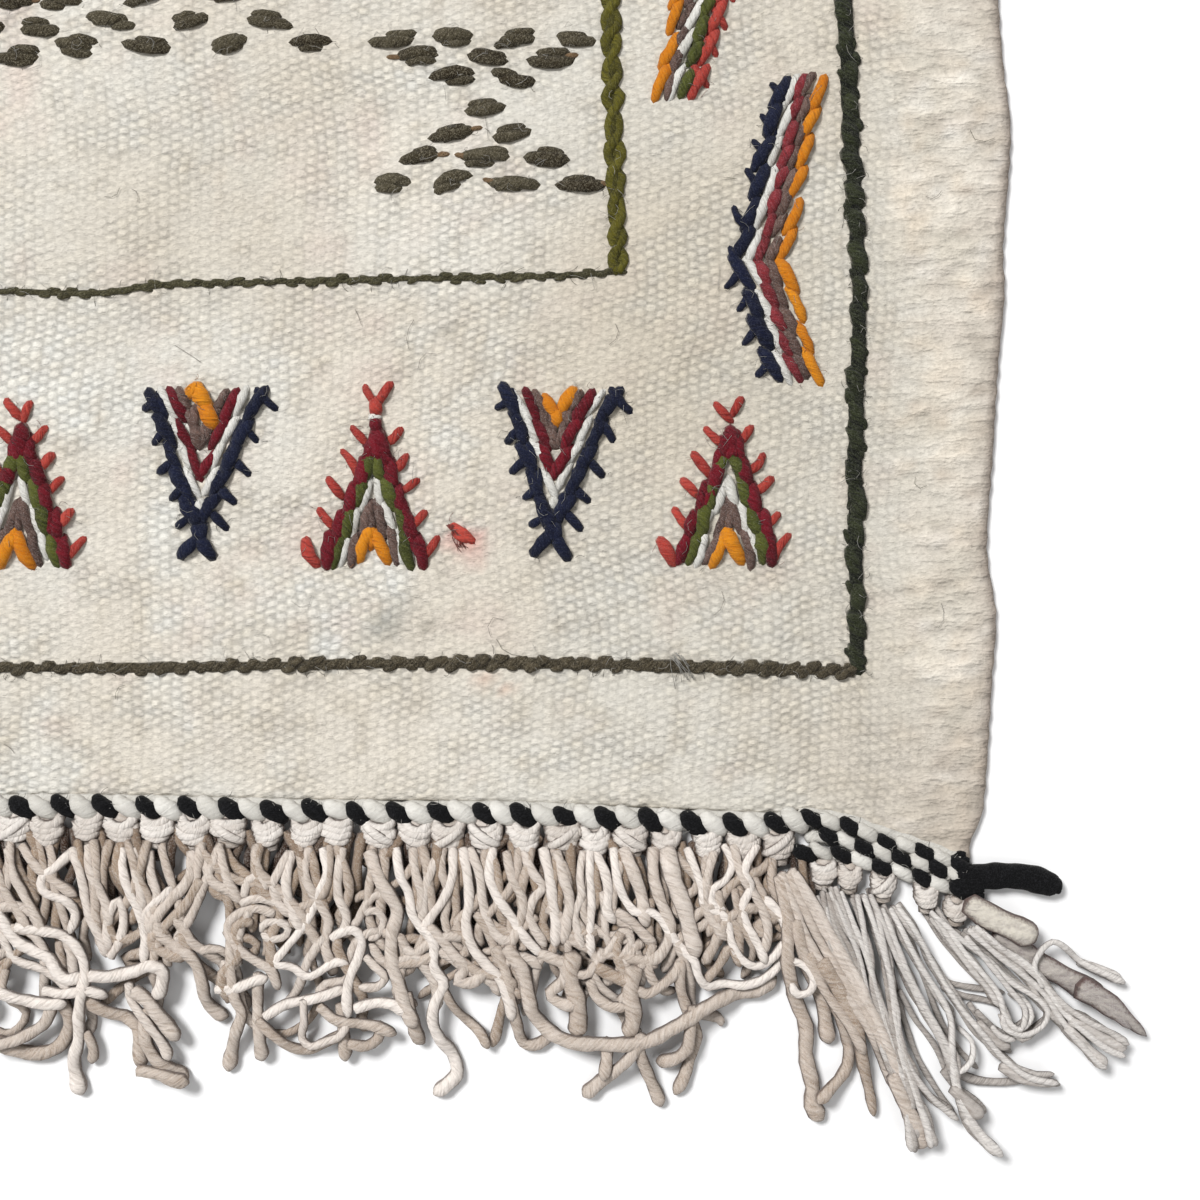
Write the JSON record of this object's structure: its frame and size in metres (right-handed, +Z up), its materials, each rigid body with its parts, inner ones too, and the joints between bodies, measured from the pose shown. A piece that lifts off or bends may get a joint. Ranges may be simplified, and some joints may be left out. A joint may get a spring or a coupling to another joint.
{
  "type": "small moroccan rug with knotted fringe",
  "caption": "small flat-woven cream wool rug with embroidered triangles, chevrons and borders, a black and white twined edge and a knotted fringe at both ends",
  "frame": {"origin": "middle of the underside, on the floor", "axes": "X along the fringed ends, Y along the sides from the near end to the far end, Z up out of the floor"},
  "size_m": [0.6822, 0.902, 0.0067],
  "materials": {
    "cream_cloth": "matte",
    "twining_wool": "matte",
    "fringe_yarn": "matte",
    "border_wool": "matte",
    "motif_wool": "matte"
  },
  "bodies": {
    "root": {"woven_cloth": "cream_cloth", "twined_edge_near": "twining_wool", "twined_edge_far": "twining_wool", "knotted_fringe_near": "fringe_yarn", "knotted_fringe_far": "fringe_yarn"}
  },
  "joints": []
}
